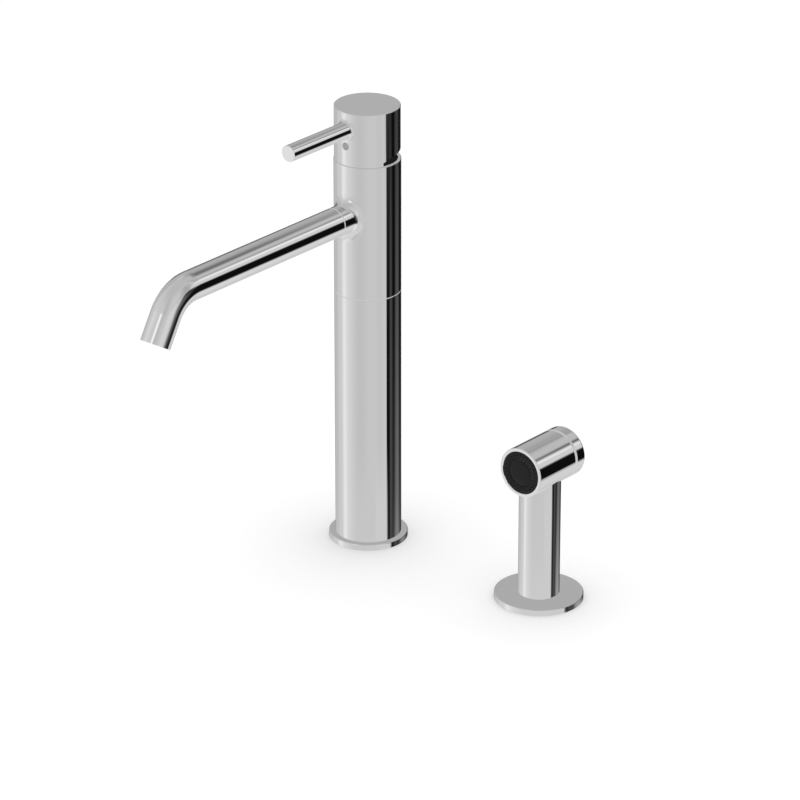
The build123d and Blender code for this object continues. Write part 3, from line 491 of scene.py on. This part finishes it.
NUB_RINGS = ((12.4 * MM, 28), (9.6 * MM, 22))  # radius of each ring of nubs and how many stand on it
NUB_HEIGHT = 0.5 * MM
NUB_RADIUS = 0.45 * MM


class MIXER_OT_nozzle_face(bpy.types.Operator):
    """Mould the spray's rubber face, with its raised centre and two rings of tapered nubs"""

    bl_idname = "mixer.nozzle_face"
    bl_label = "Nozzle face"

    def execute(self, context):
        finish = context.scene.mixer_finish
        low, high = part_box("nozzle_face")
        rim = (high.x - low.x) / 2
        middle = (low + high) / 2
        face = low.y + NUB_HEIGHT
        # turned round Z with its front up, and laid towards -Y at the end
        bm = bmesh.new()
        turn(bm, self.profile(rim, high.y - face), 96)
        for face_of_disc in bm.faces:
            face_of_disc.smooth = True
        for ring, count in NUB_RINGS:
            for step in range(count):
                self.nub(bm, ring, 2 * math.pi * step / count, finish.orifice)
        bmesh.ops.recalc_face_normals(bm, faces=bm.faces)
        lay = Matrix.Translation((middle.x, face, middle.z)) @ Matrix.Rotation(math.radians(90), 4, "X")
        bmesh.ops.transform(bm, matrix=lay, verts=bm.verts)
        rubber = nozzle_silicone("nozzle_silicone", finish.nozzle, linear("#262626"))
        piece = finish_piece("spray_nozzle_face", bm, "handset", rubber, "nozzle_face")
        # the nubs and their orifices take a darker copy of the rubber: painted shade for the dark holes
        piece.data.materials.append(nozzle_silicone("nozzle_silicone_painted_shade", linear("#090909"), linear("#141414")))
        piece.visible_glossy = False
        return {"FINISHED"}

    def profile(self, rim, depth):
        """Half the disc's section, from the middle of its front to the middle of its back."""
        return (
            (0, 0.28 * MM),
            (4.5 * MM, 0.24 * MM),
            (7.2 * MM, 0.14 * MM),
            (8.0 * MM, 0.05 * MM),
            (8.25 * MM, -0.22 * MM),
            (8.6 * MM, -0.25 * MM),
            (8.85 * MM, 0),
            (rim - 0.7 * MM, 0),
            (rim - 0.2 * MM, -0.1 * MM),
            (rim, -0.4 * MM),
            (rim, -depth),
            (0, -depth),
        )

    def nub(self, bm, ring, angle, orifice):
        """One tapered nub with a hole in its tip."""
        place = Matrix.Rotation(angle, 4, "Z") @ Matrix.Translation((ring, 0, NUB_HEIGHT / 2))
        made = bmesh.ops.create_cone(
            bm,
            cap_ends=True,
            segments=12,
            radius1=NUB_RADIUS * 1.25,
            radius2=NUB_RADIUS * 0.85,
            depth=NUB_HEIGHT,
            matrix=place,
        )
        faces = {face for vert in made["verts"] for face in vert.link_faces}
        tip = max(faces, key=lambda face: face.calc_center_median().z)
        bmesh.ops.inset_individual(bm, faces=[tip], thickness=NUB_RADIUS * 0.85 - orifice)
        bmesh.ops.translate(bm, verts=tip.verts, vec=(0, 0, -0.8 * NUB_HEIGHT))
        # painted shade: each nub and its orifice take the darker rubber in slot 1
        for face in faces | {face for vert in tip.verts for face in vert.link_faces}:
            face.material_index = 1


# ------------------------------------------------------------------ the studio
# What polished metal mirrors, as soft cards laid one over another on a plain wall: the azimuth of the card's
# middle, from -Y towards +X, and its half width, its low and high elevation, the softness of its upright and
# level edges, all in degrees, and the grey of 0 to 255 that chrome shows there. The numbers come from a
# least-squares fit to the greys of the chrome in the reference photograph, rounded to half degrees and whole
# greys. The names were given afterwards, and no real lamp or card stands behind them.
CARDS = (
    ("floor", 0, 400, -100, -26.5, 5, 1, 208),
    ("left_wall", -116, 29.5, -27, 45.5, 7.5, 3, 178),
    ("left_far", -131.5, 15.5, -7, 17, 5, 13, 121),
    ("left_dip_a", -91.5, 1, -29, 14, 2, 4, 181),
    ("left_dip_b", -113, 6, -28, 13, 3.5, 4, 167),
    ("key_wide", -38.5, 10.5, -57.5, 27, 33.5, 15, 220),
    ("key", -48.5, 8, -57, 19, 7.5, 8, 228),
    ("front_dip", 15, 16.5, -25, 13, 16.5, 0.5, 190),
    ("side_dip", 82, 10, -29.5, 10, 5, 3, 193),
    ("front_spot", 12.5, 9.5, 18, 34, 10.5, 5, 262),
    ("back_ceiling", 180, 45, 2.5, 72.5, 0.5, 5, 167),
    ("ceiling_right", 166, 19, 38.5, 70.5, 5, 1, 185),
    ("upper_shade", 184, 17, 45.5, 55, 17, 1.5, 93),
    ("upper_shade_left", -158.5, 7.5, 43, 48.5, 12.5, 4, 74),
    ("dark_flag", 163.5, 55.5, -31, 10, 1, 6, 13),
    ("dark_end", 217.5, 18.5, -29, 3, 10.5, 5.5, 62),
    ("flag_fade", 117.5, 9, -20.5, 17.5, 5.5, 1, 41),
    ("glint_a", 127, 5, -28.5, -21, 3, 2.5, 66),
    ("glint_b", 162.5, 12, -34, -24, 5.5, 8.5, 116),
    ("foot_b", 166.5, 20.5, -60, -27.5, 6.5, 2.5, 223),
    ("foot_step", 166.5, 28, -40.5, -30.5, 21, 8, 197),
    ("left_floor", -162, 30, -58, -27.5, 30.5, 0.5, 184),
    ("back_lamp", 132.5, 12.5, 15, 31.5, 3, 4.5, 236),
    ("lamp_side", 136.5, 9.5, 9.5, 24, 5.5, 3.5, 205),
    ("lamp_shade", 153, 4.5, 30, 35.5, 3.5, 2.5, 12),
    ("front_low", 16.5, 23.5, -56.5, -27.5, 11, 0.5, 189),
    ("side_low", 88, 21.5, -54.5, -25, 6, 0.5, 202),
    ("upper_front", 47.5, 24.5, 10.5, 53, 15.5, 5, 196),
    ("side_high", 112, 12.5, 17, 56.5, 15, 6, 165),
    ("tube_top", -160, 12, 29.5, 41, 5.5, 1, 159),
    ("top_left_spot", -107.5, 7.5, 21.5, 59, 10.5, 8.5, 176),
    ("top_cap", 0, 400, 57.5, 99.5, 5, 17, 183),
    ("under_side", 132.5, 16.5, -58.5, -34, 9, 6, 226),
    ("notch", -134.5, 5.5, -12, -4.5, 3, 2, 110),
    ("front_shade", 34, 17, 24, 64.5, 12.5, 5.5, 182),
    ("side_light", 79.5, 15, -2, 18.5, 7.5, 6, 209),
    ("flag_lip", 111, 8, -16.5, 5.5, 9, 8, 108),
)
WALL_LEVEL = 197
MIRROR = 0.552  # share of the light that chrome sends back

SENSOR = 36.0  # mm
CAMERA_REACH = 50.0  # m
LAMP_PLACE = (-0.2, 0.4, 2.4)
LAMP_WIDTH = 1.6
BOARD_MIDDLE = 0.8  # side of the part of the board that takes the contact shade
BOARD_GLOW = 1.06  # a little over white, so that the board clips where nothing shades it
OPEN_FLOOR = 0.9  # from this openness up the board shows no shade
GLOW_SHARE = 0.7  # share of glow, over real light and shadow, in what the camera sees of the board
SHADE_SAMPLES = 2


class MIXER_OT_studio(bpy.types.Operator):
    """Set up the camera, the white board, the lamp and the soft surround"""

    bl_idname = "mixer.studio"
    bl_label = "Studio"

    def execute(self, context):
        look = context.scene.mixer_studio
        data = bpy.data.cameras.new("studio_camera")
        data.lens = look.lens
        data.sensor_width = SENSOR
        data.clip_end = CAMERA_REACH
        camera = bpy.data.objects.new("studio_camera", data)
        camera.location = look.camera_place
        camera.rotation_euler = look.camera_turn
        context.scene.collection.objects.link(camera)
        context.scene.camera = camera
        context.scene.view_settings.view_transform = "Standard"
        self.lay_board(context.scene, look)

        lamp = bpy.data.lights.new("overhead_softbox", "AREA")
        lamp.shape = "DISK"
        lamp.size = LAMP_WIDTH
        lamp.energy = look.overhead
        softbox = bpy.data.objects.new("overhead_softbox", lamp)
        softbox.location = LAMP_PLACE
        softbox.rotation_euler = (-softbox.location).to_track_quat("-Z", "Y").to_euler()
        softbox.visible_glossy = False
        context.scene.collection.objects.link(softbox)
        self.light_surround(context.scene, look)
        # the fitted cards already hold what each piece mirrors, so pieces don't mirror one another
        for node in frame["nodes"].values():
            node.visible_glossy = False
        return {"FINISHED"}

    def lay_board(self, scene, look):
        """A white board that the camera sees glow, less in the middle where something stands close to it."""
        bm = bmesh.new()
        bmesh.ops.create_grid(bm, x_segments=1, y_segments=1, size=look.floor_size / 2)
        bmesh.ops.inset_individual(bm, faces=bm.faces, thickness=(look.floor_size - BOARD_MIDDLE) / 2)
        middle = min(bm.faces, key=lambda face: face.calc_area())
        middle.material_index = 1
        mesh = bpy.data.meshes.new("studio_board")
        bm.to_mesh(mesh)
        bm.free()
        board = bpy.data.objects.new("studio_board", mesh)
        scene.collection.objects.link(board)
        board.visible_glossy = False
        for name in ("white_studio_board", "white_studio_board_middle"):
            material, tree, _ = start(name)
            glow = BOARD_GLOW
            if name.endswith("middle"):
                # painted contact shadow: the board's glow is dimmed where ambient occlusion finds the pieces
                # close by
                near = add(
                    tree, "ShaderNodeAmbientOcclusion", {"samples": SHADE_SAMPLES}, Distance=look.shade_reach
                ).outputs["AO"]
                glow = spread(tree, near, BOARD_GLOW - look.shade_depth, BOARD_GLOW, 0.0, OPEN_FLOOR)
            white = add(tree, "ShaderNodeEmission", Color=linear("#FFFFFF"), Strength=glow).outputs[0]
            card = add(tree, "ShaderNodeBsdfDiffuse", Color=linear("#FFFFFF")).outputs[0]
            seen = add(tree, "ShaderNodeLightPath").outputs["Is Camera Ray"]
            share = calculate(tree, "MULTIPLY", seen, GLOW_SHARE)
            mix = add(tree, "ShaderNodeMixShader", i0=share, i1=card, i2=white).outputs[0]
            add(tree, "ShaderNodeOutputMaterial", Surface=mix)
            mesh.materials.append(material)

    def light_surround(self, scene, look):
        """White to the camera, one plain level for matt surfaces, and the soft cards for mirrors."""
        world = bpy.data.worlds.new("studio_surround")
        world.use_nodes = True
        tree = world.node_tree
        tree.nodes.clear()
        scene.world = world
        toward = add(tree, "ShaderNodeTexCoord").outputs["Generated"]
        split = add(tree, "ShaderNodeSeparateXYZ", Vector=toward).outputs
        front = calculate(tree, "MULTIPLY", split["Y"], -1.0)
        azimuth = calculate(tree, "DEGREES", calculate(tree, "ARCTAN2", split["X"], front))
        height = calculate(tree, "DEGREES", calculate(tree, "ARCSINE", split["Z"]))
        level = light_for(WALL_LEVEL)
        for name, middle, half, low, high, side_edge, level_edge, shown in CARDS:
            turned = calculate(tree, "SUBTRACT", azimuth, float(middle))
            turned = calculate(tree, "WRAP", turned, 180.0, -180.0)
            turned = calculate(tree, "ABSOLUTE", turned)
            mask = 1.0
            for value, edge, softness, inside in (
                (turned, half, side_edge, 0.0),
                (height, low, level_edge, 1.0),
                (height, high, level_edge, 0.0),
            ):
                side = add(
                    tree,
                    "ShaderNodeMapRange",
                    {"interpolation_type": "SMOOTHSTEP"},
                    Value=value,
                    From_Min=edge - softness,
                    From_Max=edge + softness,
                    To_Min=1.0 - inside,
                    To_Max=inside,
                ).outputs["Result"]
                mask = calculate(tree, "MULTIPLY", mask, side)
            card = {"data_type": "FLOAT", "label": name}
            level = add(tree, "ShaderNodeMix", card, Factor=mask, i2=level, i3=light_for(shown)).outputs[0]
        path = add(tree, "ShaderNodeLightPath").outputs
        white = linear("#FFFFFF")
        plain, cards, backdrop = (
            add(tree, "ShaderNodeBackground", Color=white, Strength=strength).outputs[0]
            for strength in (look.surround, level, 1.0)
        )
        around = add(tree, "ShaderNodeMixShader", i0=path["Is Glossy Ray"], i1=plain, i2=cards).outputs[0]
        around = add(tree, "ShaderNodeMixShader", i0=path["Is Camera Ray"], i1=around, i2=backdrop).outputs[0]
        add(tree, "ShaderNodeOutputWorld", Surface=around)


class MIXER_PT_panel(bpy.types.Panel):
    """Lists the steps that dress the mixer"""

    bl_idname = "MIXER_PT_panel"
    bl_label = "Mixer looks"
    bl_space_type = "VIEW_3D"
    bl_region_type = "UI"
    bl_category = "Mixer"

    def draw(self, context):
        for step in STEPS:
            self.layout.operator(step.bl_idname)


STEPS = (
    MIXER_OT_studio,
    MIXER_OT_chrome_shells,
    MIXER_OT_brasswork,
    MIXER_OT_seals,
    MIXER_OT_cartridge,
    MIXER_OT_nozzle_face,
)
CLASSES = (StudioLook, FinishLook) + STEPS + (MIXER_PT_panel,)


def register():
    for cls in CLASSES:
        bpy.utils.register_class(cls)
    bpy.types.Scene.mixer_studio = PointerProperty(type=StudioLook)
    bpy.types.Scene.mixer_finish = PointerProperty(type=FinishLook)


def unregister():
    del bpy.types.Scene.mixer_finish
    del bpy.types.Scene.mixer_studio
    for cls in reversed(CLASSES):
        bpy.utils.unregister_class(cls)


def main():
    register()
    bpy.ops.mixer.studio()
    bpy.ops.mixer.chrome_shells()
    bpy.ops.mixer.brasswork()
    bpy.ops.mixer.seals()
    bpy.ops.mixer.cartridge()
    bpy.ops.mixer.nozzle_face()
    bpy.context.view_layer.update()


if __name__ == "__main__":
    main()
